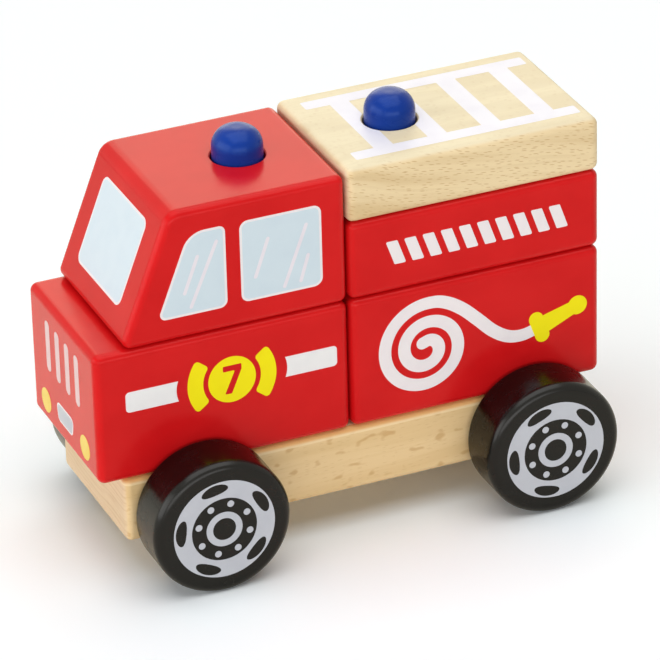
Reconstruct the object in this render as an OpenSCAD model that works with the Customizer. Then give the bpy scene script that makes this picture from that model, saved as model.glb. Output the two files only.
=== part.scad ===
// Stacking toy fire engine: lacquered wooden blocks that lift off two pegs on a rolling board.
// X runs forward, Y to the left and Z up. The origin is on the floor, under the middle of the toy.

/* [Blocks] */
// Width of every block, across the toy
block_w = 44; // [40:1:52]
// Length of the front stack, bonnet to split
front_l = 65; // [60:1:76]
// Length of the rear stack, split to tail
rear_l = 66; // [60:1:76]
// Gap between the front and the rear stack
stack_gap = 0.5; // [0.3:0.1:2]
// Height of the bonnet block
bonnet_h = 34.5; // [28:0.5:42]
// Height of the cab block
cab_h = 33.5; // [28:0.5:42]
// Height of the hose block
hose_h = 34.5; // [28:0.5:42]
// Height of the stripe block
stripe_h = 20.5; // [14:0.5:28]
// Height of the ladder block
ladder_h = 14; // [10:0.5:20]
// Rounding of the block edges
edge_r = 2; // [1:0.25:3]

/* [Cab] */
// Distance from the bonnet's nose back to the foot of the windscreen
screen_setback = 7; // [3:0.5:10]
// Lean of the windscreen from upright, in degrees
screen_lean = 21.5; // [12:0.5:26]
// Rounding of the roof's front edge, where it meets the windscreen
brow_r = 4.5; // [3:0.25:7]

/* [Pegs] */
// Diameter of the pegs
peg_d = 12.5; // [9:0.5:16]
// Gap between a peg and the hole of a block, all round
peg_play = 0.4; // [0.2:0.05:1]
// Distance from the split to the front peg
front_peg_x = 18.5; // [15:0.5:24]
// Distance from the split to the rear peg
rear_peg_x = 21; // [15:0.5:26]
// Depth of the peg seats in the board
peg_seat = 12; // [8:0.5:14]
// How far a peg stands above its stack
peg_rise = 7.5; // [5:0.5:12]
// Width of the flat on top of a peg's crown
peg_flat_d = 2.5; // [1:0.5:6]
// Chamfer at the rims of the block holes
rim_ease = 0.3; // [0.2:0.1:1]

/* [Board] */
// How far the sides of the board stand in from the sides of the blocks
side_inset = 0.7; // [0:0.1:3]
// Thickness of the rolling board
board_t = 17.5; // [16:0.5:22]
// Distance from the bonnet's nose back to the front end of the board
front_inset = 6.5; // [2:0.5:8]
// Distance from the tail forward to the rear end of the board
rear_inset = 6.5; // [2:0.5:8]
// Rounding of the board's edges
board_r = 1.8; // [1:0.2:3]

/* [Wheels and axles] */
// Diameter of the wheels
wheel_d = 35; // [30:0.5:40]
// Width of the tread
wheel_w = 13.6; // [11:0.2:18]
// Rounding of the wheel's outer edge
wheel_r = 2.2; // [1:0.2:3]
// Rounding of the wheel's inner edge
wheel_back_r = 1.2; // [0.6:0.2:2]
// Gap between a wheel and the side of the blocks
wheel_gap = 0.4; // [0.2:0.1:2]
// Depth of the blind bore in a wheel
wheel_bore = 9; // [6:0.5:10]
// Diameter of the axles
axle_d = 8; // [6:0.5:9]
// Gap between an axle and its hole in the board, all round
axle_play = 0.1; // [0.05:0.01:0.1]
// Height of the axles above the underside of the board
axle_rise = 7; // [6.5:0.1:8]
// Distance from the split to the front axle
front_axle_x = 39.5; // [36:0.5:42]
// Distance from the split to the rear axle
rear_axle_x = 47.5; // [40:0.5:48]
// Chamfer at the ends of pegs and axles
end_ease = 0.6; // [0.3:0.1:1]

/* [Hidden] */
$fn = 64;

// Overlap that keeps a cut clear of the face it opens
cut = 1;
// Facets of the blended cab's rounded edges, for a full turn
blend_fn = 48;

// Stations along X
split_x = (rear_l - front_l) / 2;
nose_x = split_x + stack_gap / 2 + front_l;
tail_x = split_x - stack_gap / 2 - rear_l;
front_rear_x = split_x + stack_gap / 2;
rear_front_x = split_x - stack_gap / 2;
front_pin_x = split_x + front_peg_x;
rear_pin_x = split_x - rear_peg_x;

// Levels along Z
axle_z = wheel_d / 2;
board_z = axle_z - axle_rise;
deck_z = board_z + board_t;
cab_z = deck_z + bonnet_h;
roof_z = cab_z + cab_h;
stripe_z = deck_z + hose_h;
ladder_z = stripe_z + stripe_h;
ladder_top_z = ladder_z + ladder_h;

// Width of the board, and the wheels' inner faces from the middle of the toy
board_w = block_w - 2 * side_inset;
wheel_y = block_w / 2 + wheel_gap;

function unit(v) = v / norm(v);
function heading(v) = atan2(v.y, v.x);
function outward(a, b) = let (u = unit(b - a)) [u.y, -u.x];

// Centre of the arc of radius r that rounds the corner b of a counter-clockwise outline
function arc_centre(a, b, c, r) =
    let (u = unit(a - b), w = unit(c - b), half = acos(u * w) / 2)
    b + unit(u + w) * r / sin(half);

// A prism along Y with the counter-clockwise outline pts in X and Z, all its edges rounded by r
module soft_prism(pts, width, r) {
    n = len(pts);
    function at(i) = pts[(i + n) % n];
    core = [for (i = [0 : n - 1]) arc_centre(at(i - 1), at(i), at(i + 1), r)];

    rotate([90, 0, 0]) {
        linear_extrude(width - 2 * r, center = true) {
            polygon([for (i = [0 : n - 1]) for (k = [i - 1, i]) core[i] + r * outward(at(k), at(k + 1))]);
            for (c = core) translate(c) circle(r);
        }
        linear_extrude(width, center = true) polygon(core);
        for (side = [-1, 1], i = [0 : n - 1]) {
            run = core[(i + 1) % n] - core[i];
            translate([core[i].x, core[i].y, side * (width / 2 - r)]) {
                sphere(r);
                rotate([90, 0, heading(run) + 90]) cylinder(r = r, h = norm(run));
            }
        }
    }
}

// A box from x0 to x1 and z0 to z1, with all its edges rounded by r
module soft_box(x0, x1, z0, z1, width, r) {
    soft_prism([[x0, z0], [x1, z0], [x1, z1], [x0, z1]], width, r);
}

// The hole of a block, right through between z0 and z1, with eased rims
module peg_hole(x, z0, z1) {
    hole_r = peg_d / 2 + peg_play;
    translate([x, 0, z0 - cut]) cylinder(r = hole_r, h = z1 - z0 + 2 * cut);
    for (end = [[z0, 0], [z1, 180]])
        translate([x, 0, end[0]]) rotate([end[1], 0, 0])
            translate([0, 0, -cut]) cylinder(r1 = hole_r + rim_ease + cut, r2 = hole_r, h = rim_ease + cut);
}

// A plain block of one of the stacks, with its hole
module stack_block(x0, x1, z0, z1, hole_x) {
    difference() {
        soft_box(x0, x1, z0, z1, block_w, edge_r);
        peg_hole(hole_x, z0, z1);
    }
}

module chassis_board() {
    color("burlywood") difference() {
        soft_box(tail_x + rear_inset, nose_x - front_inset, board_z, deck_z, board_w, board_r);
        for (x = [front_pin_x, rear_pin_x])
            translate([x, 0, deck_z - peg_seat]) cylinder(d = peg_d, h = peg_seat + cut);
        for (x = [split_x + front_axle_x, split_x - rear_axle_x])
            translate([x, 0, axle_z]) rotate([90, 0, 0])
                cylinder(r = axle_d / 2 + axle_play, h = board_w + 2 * cut, center = true);
    }
}

module bonnet_block() {
    color("firebrick") stack_block(front_rear_x, nose_x, deck_z, cab_z, front_pin_x);
}

// A ball of radius r at a corner of the cab, with points at its poles
module ball(r) {
    rotate_extrude($fn = blend_fn) intersection() {
        circle(r, $fn = blend_fn);
        translate([0, -r]) square([r, 2 * r]);
    }
}

// A roller across the cab that gives the roof's front edge its rounding, with rims like the other edges
module brow_roller(r) {
    rotate_extrude($fn = blend_fn) intersection() {
        square([r, block_w]);
        union() {
            square([r - edge_r, block_w]);
            translate([0, edge_r]) square([r, block_w - 2 * edge_r]);
            for (y = [edge_r, block_w - edge_r])
                translate([r - edge_r, y]) circle(edge_r, $fn = blend_fn);
        }
    }
}

// The cab's wedge in X and Z: its back, the leaning windscreen and the brow between screen and roof
module cab_block() {
    foot = [nose_x - screen_setback, cab_z];
    corner = [foot.x - cab_h * tan(screen_lean), roof_z];
    back = [[front_rear_x, roof_z], [front_rear_x, cab_z]];
    roller_r = max(brow_r, edge_r);
    color("firebrick") difference() {
        rotate([90, 0, 0]) translate([0, 0, -block_w / 2]) hull() {
            translate(arc_centre(foot, corner, back[0], roller_r)) brow_roller(roller_r);
            for (y = [edge_r, block_w - edge_r]) translate([0, 0, y]) {
                translate(arc_centre(corner, back[0], back[1], edge_r)) ball(edge_r);
                translate(arc_centre(back[0], back[1], foot, edge_r)) ball(edge_r);
                translate(arc_centre(back[1], foot, corner, edge_r)) ball(edge_r);
            }
        }
        peg_hole(front_pin_x, cab_z, roof_z);
    }
}

module hose_block() {
    color("firebrick") stack_block(tail_x, rear_front_x, deck_z, stripe_z, rear_pin_x);
}

module stripe_block() {
    color("firebrick") stack_block(tail_x, rear_front_x, stripe_z, ladder_z, rear_pin_x);
}

module ladder_block() {
    color("wheat") stack_block(tail_x, rear_front_x, ladder_z, ladder_top_z, rear_pin_x);
}

// A peg from its seat in the board to top_z, with a domed crown and an eased foot
module peg(x, top_z) {
    foot_z = deck_z - peg_seat;
    rise = top_z - foot_z;
    r = peg_d / 2;
    crown_r = r - peg_flat_d / 2;
    color("mediumblue") translate([x, 0, foot_z]) rotate_extrude() {
        polygon([[0, 0], [r - end_ease, 0], [r, end_ease], [r, rise - crown_r],
                 [r - crown_r, rise], [0, rise]]);
        intersection() {
            translate([r - crown_r, rise - crown_r]) circle(crown_r);
            translate([0, rise - crown_r]) square([r, crown_r]);
        }
    }
}

module front_peg() peg(front_pin_x, roof_z + peg_rise);
module rear_peg() peg(rear_pin_x, ladder_top_z + peg_rise);

// An axle dowel that reaches to the bottom of both wheel bores
module axle(x) {
    length = 2 * (wheel_y + wheel_bore);
    r = axle_d / 2;
    color("burlywood") translate([x, 0, axle_z]) rotate([90, 0, 0])
        translate([0, 0, -length / 2]) rotate_extrude()
            polygon([[0, 0], [r - end_ease, 0], [r, end_ease], [r, length - end_ease],
                     [r - end_ease, length], [0, length]]);
}

module front_axle() axle(split_x + front_axle_x);
module rear_axle() axle(split_x - rear_axle_x);

// A turned wheel, its plain face outwards and its blind bore towards the board
module wheel(x, side) {
    r = wheel_d / 2;
    color("dimgray") translate([x, side * wheel_y, axle_z]) rotate([-90 * side, 0, 0]) difference() {
        rotate_extrude() {
            polygon([[0, 0], [r - wheel_back_r, 0], [r, wheel_back_r], [r, wheel_w - wheel_r],
                     [r - wheel_r, wheel_w], [0, wheel_w]]);
            translate([r - wheel_back_r, wheel_back_r]) circle(wheel_back_r);
            translate([r - wheel_r, wheel_w - wheel_r]) circle(wheel_r);
        }
        translate([0, 0, -cut]) cylinder(d = axle_d, h = wheel_bore + cut);
    }
}

module front_left_wheel() wheel(split_x + front_axle_x, 1);
module front_right_wheel() wheel(split_x + front_axle_x, -1);
module rear_left_wheel() wheel(split_x - rear_axle_x, 1);
module rear_right_wheel() wheel(split_x - rear_axle_x, -1);

chassis_board();
front_peg();
rear_peg();
bonnet_block();
cab_block();
hose_block();
stripe_block();
ladder_block();
front_axle();
rear_axle();
front_left_wheel();
front_right_wheel();
rear_left_wheel();
rear_right_wheel();
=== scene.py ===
"""Dresses the stacking toy fire engine: lacquer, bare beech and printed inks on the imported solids.

X runs forward, Y to the left and Z up. Sizes are in millimetres, and become metres as a mesh is placed.
"""

import logging
import math
from collections.abc import Iterable, Mapping, Sequence
from dataclasses import dataclass, field, fields
from enum import Enum
from typing import Any

import bmesh
import bpy
from mathutils import Matrix, Vector


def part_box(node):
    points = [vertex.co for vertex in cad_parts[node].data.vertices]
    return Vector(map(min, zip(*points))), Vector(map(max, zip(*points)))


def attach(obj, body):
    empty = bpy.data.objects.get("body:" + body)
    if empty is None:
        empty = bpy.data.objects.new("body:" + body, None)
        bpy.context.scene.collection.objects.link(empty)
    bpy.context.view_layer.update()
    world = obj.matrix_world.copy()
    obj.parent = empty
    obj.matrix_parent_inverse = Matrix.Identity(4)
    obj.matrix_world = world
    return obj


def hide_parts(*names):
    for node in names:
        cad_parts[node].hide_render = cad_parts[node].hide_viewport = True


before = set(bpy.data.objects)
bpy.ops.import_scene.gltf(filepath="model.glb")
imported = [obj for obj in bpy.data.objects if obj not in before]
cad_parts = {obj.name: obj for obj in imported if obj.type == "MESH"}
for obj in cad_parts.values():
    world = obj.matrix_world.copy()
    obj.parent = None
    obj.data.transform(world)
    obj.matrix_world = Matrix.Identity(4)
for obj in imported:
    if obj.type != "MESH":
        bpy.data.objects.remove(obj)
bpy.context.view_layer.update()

log = logging.getLogger("fire_engine")

MM = 0.001
X, Y, Z = Vector((1, 0, 0)), Vector((0, 1, 0)), Vector((0, 0, 1))

Colour = tuple[float, float, float, float]
Pair = tuple[float, float]
Triple = tuple[float, float, float]
Outline = list[Vector]
Mesh, Socket = bpy.types.Mesh, bpy.types.NodeSocket
Sockets = Mapping[str | int, Socket]

PURE: Colour = (1.0, 1.0, 1.0, 1.0)


class Hand(Enum):
    """The two sides of the toy, by the sign of Y."""

    LEFT = 1
    RIGHT = -1

    @property
    def tag(self) -> str:
        """The side's name, as the names of pieces have it."""
        return self.name.lower()


class Layer(Enum):
    """How many passes of the press lie under an ink."""

    FIRST = 0
    SECOND = 1
    THIRD = 2


class Slot(Enum):
    """The record's material slots."""

    BEECH = "beech"
    RED = "red_lacquer"
    BLUE = "blue_lacquer"
    BLACK = "black_lacquer"
    WHITE = "white_ink"
    SKY = "sky_ink"
    YELLOW = "yellow_ink"
    SILVER = "silver_ink"


def tint(red: int, green: int, blue: int) -> Colour:
    """Turns a colour as a screen shows it into the linear one that shaders use.

    Args:
        red: Red, 0 to 255.
        green: Green, 0 to 255.
        blue: Blue, 0 to 255.

    Returns:
        The linear colour, with full alpha.
    """
    shares = [level / 255 for level in (red, green, blue)]
    linear = [s / 12.92 if s <= 0.04045 else ((s + 0.055) / 1.055) ** 2.4 for s in shares]
    return (*linear, 1.0)


# Wiring of node trees


@dataclass(frozen=True)
class Cells:
    """The cells of a noise.

    Attributes:
        size: Their size along X, Y and Z.
        detail: Octaves of finer noise.
        offset: A shift that keeps two noises apart.
    """

    size: Triple
    detail: float
    offset: float = 0.0


@dataclass(frozen=True)
class Wiring:
    """A node tree, with short ways to fill it.

    Attributes:
        tree: The tree.
    """

    tree: bpy.types.NodeTree

    MIX_INPUTS = (0, 6, 7)
    MIX_RESULT = 2

    def feed(self, node: bpy.types.Node, inputs: Mapping[str | int, Any]) -> None:
        """Sets or links inputs of a node.

        Args:
            node: The node.
            inputs: A value, or a socket to link, for each input that is named or numbered.
        """
        for key, value in inputs.items():
            if isinstance(value, Socket):
                self.tree.links.new(value, node.inputs[key])
            else:
                node.inputs[key].default_value = value

    def add(self, kind: str, inputs: Mapping[str | int, Any] | None = None, **settings: Any) -> Sockets:
        """Adds a node, sets it up and wires it.

        Args:
            kind: The node's type name.
            inputs: The node's inputs; see feed.
            **settings: Attributes of the node.

        Returns:
            The node's outputs.
        """
        made = self.tree.nodes.new(kind)
        for key, value in settings.items():
            setattr(made, key, value)
        self.feed(made, inputs or {})
        return made.outputs

    def calc(self, operation: str, first: Any, second: Any = 0.0) -> Socket:
        """Adds a Math node on two values or sockets, and gives its result."""
        return self.add("ShaderNodeMath", {0: first, 1: second}, operation=operation)[0]

    def vector(self, operation: str, first: Any, second: Any) -> Socket:
        """Adds a Vector Math node on two vectors or sockets, and gives its result."""
        return self.add("ShaderNodeVectorMath", {0: first, 1: second}, operation=operation)[0]

    def in_cells(self, place: Socket, size: Triple, offset: float = 0.0) -> Socket:
        """Counts a place in cells of a size, from an offset."""
        scale = [1 / length for length in size]
        return self.add("ShaderNodeMapping", {"Vector": place, "Location": (offset,) * 3, "Scale": scale})[0]

    def noise(self, place: Socket, cells: Cells) -> Socket:
        """Adds a noise over a place in millimetres, and gives its value, about 0 to 1."""
        mapped = self.in_cells(place, cells.size, cells.offset)
        return self.add("ShaderNodeTexNoise", {"Vector": mapped, "Scale": 1.0, "Detail": cells.detail})["Fac"]

    def ramp(self, value: Socket, step: Pair, to: Pair = (0.0, 1.0)) -> Socket:
        """Steps a value smoothly from one result to another, between the two ends of a step."""
        ends = {"From Min": step[0], "From Max": step[1], "To Min": to[0], "To Max": to[1]}
        return self.add("ShaderNodeMapRange", {"Value": value, **ends}, interpolation_type="SMOOTHSTEP")[0]

    def blend(self, share: Any, first: Any, second: Any) -> Socket:
        """Mixes two colours, by the share of the second that shows."""
        inputs = dict(zip(self.MIX_INPUTS, (share, first, second)))
        return self.add("ShaderNodeMix", inputs, data_type="RGBA")[self.MIX_RESULT]

    def bump(self, height: Socket, depth: float) -> Socket:
        """Turns a height, whose 1 is a depth in millimetres, into a normal."""
        return self.add("ShaderNodeBump", {"Height": height, "Strength": 1.0, "Distance": depth * MM})[0]


# Shader groups: effects that several finishes share


class Effect:
    """A shader group that puts out masks, tones and heights from a place on the surface."""

    name = ""
    controls: tuple[str, ...] = ()

    def wire(self, wiring: Wiring, place: Socket, given: Sockets) -> dict[str, Socket]:
        """Fills the group.

        Args:
            wiring: The group's wiring.
            place: Object coordinates in millimetres.
            given: The group's own inputs.

        Returns:
            The socket behind each of the group's results.
        """
        raise NotImplementedError

    def group(self) -> bpy.types.NodeTree:
        """Builds the group the first time, and hands out the same one after that.

        Returns:
            The group.
        """
        if self.name in bpy.data.node_groups:
            return bpy.data.node_groups[self.name]
        tree = bpy.data.node_groups.new(self.name, "ShaderNodeTree")
        tree.interface.new_socket("Vector", in_out="INPUT", socket_type="NodeSocketVector")
        for control in self.controls:
            tree.interface.new_socket(control, in_out="INPUT", socket_type="NodeSocketFloat")
        wiring = Wiring(tree)
        given = wiring.add("NodeGroupInput")
        place = wiring.vector("MULTIPLY", given["Vector"], (1 / MM,) * 3)
        results = self.wire(wiring, place, given)
        for result in results:
            tree.interface.new_socket(result, in_out="OUTPUT", socket_type="NodeSocketFloat")
        wiring.add("NodeGroupOutput", results)
        return tree

    def put_in(self, wiring: Wiring, inputs: Mapping[str, Any]) -> Sockets:
        """Places the group in a material with its own inputs, and gives its results."""
        return wiring.add("ShaderNodeGroup", inputs, node_tree=self.group())


class BeechGrain(Effect):
    """Beech cut along X: broad bands, fine streaks, short dark ray flecks, and the rings of its cut ends."""

    name = "Beech grain"
    controls = ("Fleck share",)
    DRIFT = Cells((38, 26, 26), 1.0, 3.0)
    DRIFT_BY = (0.0, 3.0, 4.0)
    BAND = Cells((90, 6, 6), 1.0)
    STREAK = Cells((26, 0.8, 0.8), 3.0, 7.0)
    STREAK_RISE = 0.5
    BLOTCH = Cells((3.6, 2.3, 2.3), 0.6, 19.0)
    BLOTCH_STEP = (0.61, 0.74)
    RING = Cells((60, 18, 0.75), 2.0, 43.0)
    RAY_CELL = (2.3, 1.0, 0.95)
    RAY_HALF = (0.95, 0.85, 0.15)
    RAY_STEP = (1.0, 0.4)

    def wire(self, wiring: Wiring, place: Socket, given: Sockets) -> dict[str, Socket]:
        """Grows the wood from bent bands to single flecks.

        Args:
            wiring: The group's wiring.
            place: Object coordinates in millimetres.
            given: The group's own inputs.

        Returns:
            Masks of bands, streaks, flecks, stains and cut rings, and the grain's height.
        """
        drift = wiring.noise(place, self.DRIFT)
        bent = wiring.vector("ADD", place, wiring.vector("MULTIPLY", drift, self.DRIFT_BY))
        streak = wiring.noise(bent, self.STREAK)
        cells = wiring.in_cells(bent, self.RAY_CELL)
        rays = wiring.add("ShaderNodeTexVoronoi", {"Vector": cells, "Scale": 1.0, "Randomness": 1.0})
        slim = [cell / half for cell, half in zip(self.RAY_CELL, self.RAY_HALF)]
        shaped = wiring.vector("MULTIPLY", wiring.vector("SUBTRACT", cells, rays["Position"]), slim)
        reach = wiring.add("ShaderNodeVectorMath", {0: shaped}, operation="LENGTH")["Value"]
        chance = wiring.add("ShaderNodeSeparateColor", {"Color": rays["Color"]})[0]
        shown = wiring.calc("LESS_THAN", chance, given["Fleck share"])
        fleck = wiring.calc("MULTIPLY", wiring.ramp(reach, self.RAY_STEP), shown)
        raised = wiring.calc("MULTIPLY", streak, self.STREAK_RISE)
        return {"Band": wiring.noise(bent, self.BAND), "Streak": streak, "Fleck": fleck,
                "Blotch": wiring.ramp(wiring.noise(bent, self.BLOTCH), self.BLOTCH_STEP),
                "Ring": wiring.noise(bent, self.RING), "Height": wiring.calc("SUBTRACT", raised, fleck)}


class LacquerFilm(Effect):
    """A brushed and dipped film: broad tone, fine roughness and the ripple of its surface."""

    name = "Lacquer film"
    controls = ("Pores",)
    TONE = Cells((17, 13, 13), 3.0, 5.0)
    SMEAR = Cells((6, 2.4, 2.4), 4.0, 11.0)
    RIPPLE = Cells((3.2, 2.2, 2.2), 1.0, 23.0)
    PORES = Cells((14, 0.5, 0.5), 2.0, 31.0)

    def wire(self, wiring: Wiring, place: Socket, given: Sockets) -> dict[str, Socket]:
        """Lays the film over the pores.

        Args:
            wiring: The group's wiring.
            place: Object coordinates in millimetres.
            given: The group's own inputs.

        Returns:
            The film's tone, its smears, and the height of its ripple and pores.
        """
        pores = wiring.calc("MULTIPLY", wiring.noise(place, self.PORES), given["Pores"])
        return {"Tone": wiring.noise(place, self.TONE), "Smear": wiring.noise(place, self.SMEAR),
                "Height": wiring.calc("ADD", wiring.noise(place, self.RIPPLE), pores)}


class InkFilm(Effect):
    """A printed film: cloudy cover, and the weave of the screen it was pressed through."""

    name = "Ink film"
    CLOUD = Cells((5, 5, 5), 3.0, 2.0)
    WEAVE = Cells((0.35, 0.35, 0.35), 1.0, 13.0)
    SPECK_STEP = (0.62, 0.74)

    def wire(self, wiring: Wiring, place: Socket, given: Sockets) -> dict[str, Socket]:
        """Presses the ink through its screen.

        Args:
            wiring: The group's wiring.
            place: Object coordinates in millimetres.
            given: The group's own inputs; not used.

        Returns:
            The cloudy cover, its specks, and the weave's height.
        """
        weave = wiring.noise(place, self.WEAVE)
        return {"Cloud": wiring.noise(place, self.CLOUD), "Speck": wiring.ramp(weave, self.SPECK_STEP),
                "Height": weave}


# Finishes


@dataclass(frozen=True)
class Finish:
    """A surface finish with its own material.

    Attributes:
        name: Name of the material.
        slot: The record's slot for it; not used.
    """

    name: str
    slot: Slot

    def shade(self, wiring: Wiring, spot: Sockets) -> dict[str, Any]:
        """Works out the finish at a spot.

        Args:
            wiring: The material's wiring.
            spot: The spot's coordinates.

        Returns:
            The inputs of the material's Principled shader.
        """
        raise NotImplementedError

    def material(self) -> bpy.types.Material:
        """Makes the finish's material the first time, and hands out the same one after that.

        Returns:
            The material.
        """
        if self.name in bpy.data.materials:
            return bpy.data.materials[self.name]
        made = bpy.data.materials.new(self.name)
        made.use_nodes = True
        wiring = Wiring(made.node_tree)
        inputs = self.shade(wiring, wiring.add("ShaderNodeTexCoord"))
        wiring.feed(made.node_tree.nodes["Principled BSDF"], inputs)
        return made


@dataclass(frozen=True)
class Lacquer(Finish):
    """A glossy coloured lacquer on sanded wood.

    Attributes:
        colour: The lacquer where it is thin.
        deep: The lacquer where it has pooled.
        gloss: Roughness of the film, from its smoothest to its most handled.
        refraction: The film's refractive index.
        sheen: Colour of what the film mirrors head-on.
        ripple: Depth of the film's ripple, in millimetres.
        pores: How far the wood's pores show through, against the ripple.
    """

    colour: Colour
    deep: Colour
    gloss: Pair
    refraction: float
    sheen: Colour = PURE
    ripple: float = 0.006
    pores: float = 0.25

    POOL_STEP = (0.3, 0.7)
    SMEAR_STEP = (0.3, 0.75)

    def shade(self, wiring: Wiring, spot: Sockets) -> dict[str, Any]:
        """Works out the lacquer at a spot.

        Args:
            wiring: The material's wiring.
            spot: The spot's coordinates.

        Returns:
            The inputs of the material's Principled shader.
        """
        film = LacquerFilm().put_in(wiring, {"Vector": spot["Object"], "Pores": self.pores})
        pooling_and_shade = wiring.ramp(film["Tone"], self.POOL_STEP)
        return {"Base Color": wiring.blend(pooling_and_shade, self.colour, self.deep),
                "Roughness": wiring.ramp(film["Smear"], self.SMEAR_STEP, self.gloss),
                "IOR": self.refraction,
                "Specular Tint": self.sheen,
                "Normal": wiring.bump(film["Height"], self.ripple)}


@dataclass(frozen=True)
class Beech(Finish):
    """Bare sanded beech under a thin satin varnish.

    Attributes:
        pale: Early wood.
        honey: Late wood and broad bands.
        fleck: The short dark rays.
        blotch: The stains of heartwood.
        turn: How far the grain runs off the block's length, in degrees.
        fleck_share: Share of the ray cells that show as flecks.
        fleck_cover: How strongly the flecks show.
        blotch_cover: How strongly the stains show.
        end: Early wood on the cut ends.
        ring: Late wood on the cut ends.
        upper: A painted sheen: paler wood on faces that face up, in place of the light they mirror.
        upper_cover: How strongly that painted sheen shows.
        eased: Painted shade on the rounded top edges, where the blocks overhang them, tinted by their red
            glow.
        ridge: A painted highlight along the foot of those edges.
        eased_from: Height where the rounding of the top edges begins.
        gloss: Roughness of the varnish, from its smoothest to its driest streak.
        refraction: The varnish's refractive index.
        relief: Depth of the grain, in millimetres.
    """

    pale: Colour
    honey: Colour
    fleck: Colour
    blotch: Colour
    turn: float
    fleck_share: float
    fleck_cover: float
    blotch_cover: float
    end: Colour = tint(222, 199, 166)
    ring: Colour = tint(209, 182, 146)
    # Painted sheen on faces that face up: its colour, and how strongly it shows.
    upper: Colour = tint(232, 226, 201)
    upper_cover: float = 0.0
    # Colours of the painted edge shade and of the painted highlight below it.
    eased: Colour | None = None
    ridge: Colour | None = None
    eased_from: float = 0.0
    gloss: Pair = (0.34, 0.5)
    refraction: float = 1.4
    relief: float = 0.012

    BAND_STEP = (0.35, 0.68)
    STREAK_STEP, STREAK_COVER = (0.42, 0.75), (0.0, 0.4)
    GLOSS_STEP = (0.2, 0.8)
    RING_STEP = (0.42, 0.7)
    FACING_STEP = (0.6, 0.95)
    SAWN_STEP, SAWN_COVER = (0.3, 0.9), (0.15, 1.0)
    # Steps and covers of the painted highlight line and of the painted edge shade, which shows only where the
    # surface faces up.
    RUBBED_STEP, RUBBED_COVER = (-0.4, -0.1), (0.0, 0.65)
    POOLED_STEP, POOLED_COVER = (0.0, 0.8), (0.1, 0.9)
    LEVEL_STEP = (0.99, 0.93)

    def ease(self, wiring: Wiring, place: Socket, level: Socket, wood: Socket) -> Socket:
        """Paints shade over the rounded top edges, and a highlight line along their foot.

        Args:
            wiring: The material's wiring.
            place: Object coordinates.
            level: How far the surface faces up.
            wood: The wood's colour.

        Returns:
            The colour with its painted edge shade and highlight.
        """
        height = wiring.add("ShaderNodeSeparateXYZ", {0: place})["Z"]
        # Painted highlight just below the rounding, painted shade on it.
        ridge_lit, pooling_and_shade = (
            wiring.ramp(height, tuple((self.eased_from + at) * MM for at in step), cover)
            for step, cover in ((self.RUBBED_STEP, self.RUBBED_COVER), (self.POOLED_STEP, self.POOLED_COVER)))
        pooling_and_shade = wiring.calc("MULTIPLY", pooling_and_shade, wiring.ramp(level, self.LEVEL_STEP))
        return wiring.blend(pooling_and_shade, wiring.blend(ridge_lit, wood, self.ridge), self.eased)

    def shade(self, wiring: Wiring, spot: Sockets) -> dict[str, Any]:
        """Works out the wood at a spot, from its bands to the painted shade and highlight on its top edges.

        Args:
            wiring: The material's wiring.
            spot: The spot's coordinates.

        Returns:
            The inputs of the material's Principled shader.
        """
        turned = {"Vector": spot["Object"], "Rotation": (0, math.radians(self.turn), 0)}
        along = wiring.add("ShaderNodeMapping", turned)[0]
        grain = BeechGrain().put_in(wiring, {"Vector": along, "Fleck share": self.fleck_share})
        wood = wiring.blend(wiring.ramp(grain["Band"], self.BAND_STEP), self.pale, self.honey)
        streaks = wiring.ramp(grain["Streak"], self.STREAK_STEP, self.STREAK_COVER)
        wood = wiring.blend(streaks, wood, self.honey)
        facing = wiring.add("ShaderNodeSeparateXYZ", {0: spot["Normal"]})
        endwise, sideways = (wiring.calc("ABSOLUTE", facing[axis]) for axis in "XY")
        cut = wiring.blend(wiring.ramp(grain["Ring"], self.RING_STEP), self.end, self.ring)
        wood = wiring.blend(wiring.ramp(endwise, self.FACING_STEP), wood, cut)
        # Painted sheen: faces that face up are painted paler.
        sheen_share = wiring.ramp(facing["Z"], self.FACING_STEP, (0.0, self.upper_cover))
        wood = wiring.blend(sheen_share, wood, self.upper)
        sawn = wiring.ramp(sideways, self.SAWN_STEP, self.SAWN_COVER)
        for mark, cover, colour in (("Blotch", self.blotch_cover, self.blotch),
                                    ("Fleck", self.fleck_cover, self.fleck)):
            shown = wiring.calc("MULTIPLY", wiring.calc("MULTIPLY", grain[mark], cover), sawn)
            wood = wiring.blend(shown, wood, colour)
        # Painted shade and highlight on the rounded top edges.
        if self.eased is not None:
            wood = self.ease(wiring, spot["Object"], facing["Z"], wood)
        return {"Base Color": wood,
                "Roughness": wiring.ramp(grain["Streak"], self.GLOSS_STEP, self.gloss),
                "IOR": self.refraction,
                "Normal": wiring.bump(grain["Height"], self.relief)}


@dataclass(frozen=True)
class Ink(Finish):
    """A screen-printed ink.

    Attributes:
        colour: The ink at full cover.
        thin: The ink where the cover is thin.
        refraction: The ink's refractive index.
        gloss: Roughness, from the smoothest to the dullest patch.
        relief: Depth of the screen's weave, in millimetres.
    """

    colour: Colour
    thin: Colour
    refraction: float = 1.4
    gloss: Pair = (0.28, 0.42)
    relief: float = 0.003

    COVER_STEP, COVER_LOST = (0.35, 0.75), (0.0, 0.6)
    SPECK_LOST = 0.5
    GLOSS_STEP = (0.3, 0.7)

    def shade(self, wiring: Wiring, spot: Sockets) -> dict[str, Any]:
        """Works out the ink at a spot.

        Args:
            wiring: The material's wiring.
            spot: The spot's coordinates.

        Returns:
            The inputs of the material's Principled shader.
        """
        film = InkFilm().put_in(wiring, {"Vector": spot["Object"]})
        cloudy = wiring.ramp(film["Cloud"], self.COVER_STEP, self.COVER_LOST)
        worn = wiring.calc("MAXIMUM", cloudy, wiring.calc("MULTIPLY", film["Speck"], self.SPECK_LOST))
        return {"Base Color": wiring.blend(worn, self.colour, self.thin),
                "Roughness": wiring.ramp(film["Cloud"], self.GLOSS_STEP, self.gloss),
                "IOR": self.refraction,
                "Normal": wiring.bump(film["Height"], self.relief)}


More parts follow.
